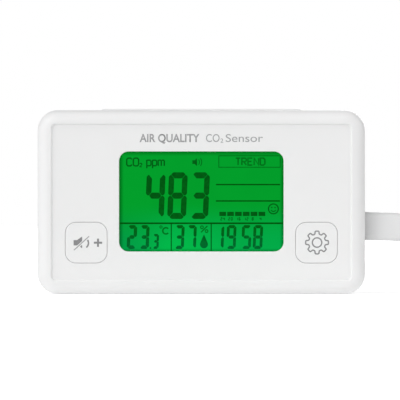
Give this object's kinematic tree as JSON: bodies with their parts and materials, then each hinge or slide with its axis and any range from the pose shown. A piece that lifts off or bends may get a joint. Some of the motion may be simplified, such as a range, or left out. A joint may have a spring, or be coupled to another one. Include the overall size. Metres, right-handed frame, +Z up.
{
  "type": "carbon dioxide monitor",
  "caption": "Desktop air quality monitor: shallow white case with a sunken front panel, a green display, push buttons, a fold-out leg behind and a USB lead in its side.",
  "frame": {"origin": "middle of the flat lower face that the case stands on, below the display", "axes": "+X to the monitor's right as seen from the front, +Y from front to rear, +Z up"},
  "size_m": [0.1708, 0.0831, 0.0681],
  "materials": {
    "white_abs": "satin",
    "white_button": "satin",
    "clear_lens": "polished",
    "black_foam": "matte",
    "lcd_film": "satin",
    "lcd_glass": "polished",
    "clear_acrylic": "polished",
    "white_film": "matte",
    "connector_rubber": "matte",
    "led_epoxy": "gloss",
    "board_green": "satin",
    "board_blue": "satin",
    "chip_black": "matte",
    "can_metal": "satin",
    "black_plastic": "satin",
    "plunger_plastic": "satin",
    "dome_steel": "polished",
    "brass": "satin",
    "gold_plate": "polished",
    "membrane": "matte",
    "lamp_glass": "polished",
    "plated_steel": "polished",
    "screw_steel": "satin",
    "white_insulator": "satin",
    "black_insulator": "satin",
    "white_grip": "satin",
    "white_sheath": "satin",
    "wire_sheath": "satin",
    "label_paper": "satin"
  },
  "bodies": {
    "monitor": {"front_shell": "white_abs", "rear_cover": "white_abs", "display_lens": "clear_lens", "lens_gasket": "black_foam", "lcd_front_polariser": "lcd_film", "lcd_front_glass": "lcd_glass", "lcd_rear_glass": "lcd_glass", "lcd_rear_polariser": "lcd_film", "lcd_connector_strip": "connector_rubber", "display_frame": "white_insulator", "backlight_diffuser": "white_film", "light_guide": "clear_acrylic", "backlight_reflector": "white_film", "backlight_leds": "led_epoxy", "main_board": "board_green", "microcontroller": "chip_black", "board_components": "chip_black", "power_capacitor": "can_metal", "buzzer_case": "black_plastic", "buzzer_disc": "brass", "gas_sensor_board": "board_blue", "gas_chamber": "gold_plate", "gas_membrane": "membrane", "infrared_lamp": "lamp_glass", "infrared_detector": "can_metal", "gas_sensor_pins": "gold_plate", "air_sensor_board": "board_green", "air_sensor": "chip_black", "air_sensor_wires": "wire_sheath", "mute_switch_housing": "black_plastic", "mute_switch_dome": "dome_steel", "settings_switch_housing": "black_plastic", "settings_switch_dome": "dome_steel", "case_screws": "screw_steel", "board_screws": "screw_steel", "rating_label": "label_paper", "usb_socket_shell": "plated_steel", "usb_socket_insert": "black_insulator"},
    "leg": {"fold_out_leg": "white_abs"},
    "mute_key": {"mute_button": "white_button"},
    "mute_plunger": {"mute_switch_plunger": "plunger_plastic"},
    "settings_key": {"settings_button": "white_button"},
    "settings_plunger": {"settings_switch_plunger": "plunger_plastic"},
    "lead": {"usb_plug_shell": "plated_steel", "usb_plug_insert": "black_insulator", "usb_plug_grip": "white_grip", "strain_relief": "white_sheath", "usb_cable": "white_sheath", "host_plug_grip": "white_grip", "host_plug_shell": "plated_steel", "host_plug_insert": "white_insulator", "host_plug_contacts": "gold_plate"}
  },
  "joints": [
    {"name": "leg_fold", "type": "hinge", "parent": "monitor", "child": "leg", "pos_m": [0, 0.0107, 0.042], "axis": [1, 0, 0], "range_deg": [0, 45]},
    {"name": "mute_button_press", "type": "slide", "parent": "monitor", "child": "mute_key", "axis": [0, 1, 0], "range_m": [0, 0.0003]},
    {"name": "mute_plunger_press", "type": "slide", "parent": "monitor", "child": "mute_plunger", "axis": [0, 1, 0], "range_m": [0, 0.0003]},
    {"name": "settings_button_press", "type": "slide", "parent": "monitor", "child": "settings_key", "axis": [0, 1, 0], "range_m": [0, 0.0003]},
    {"name": "settings_plunger_press", "type": "slide", "parent": "monitor", "child": "settings_plunger", "axis": [0, 1, 0], "range_m": [0, 0.0003]},
    {"name": "usb_plug_pull", "type": "slide", "parent": "monitor", "child": "lead", "axis": [1, 0, 0], "range_m": [0, 0.012]}
  ],
  "couplings": [
    {"joint": "mute_plunger_press", "follows": "mute_button_press", "ratio": 1},
    {"joint": "settings_plunger_press", "follows": "settings_button_press", "ratio": 1}
  ]
}
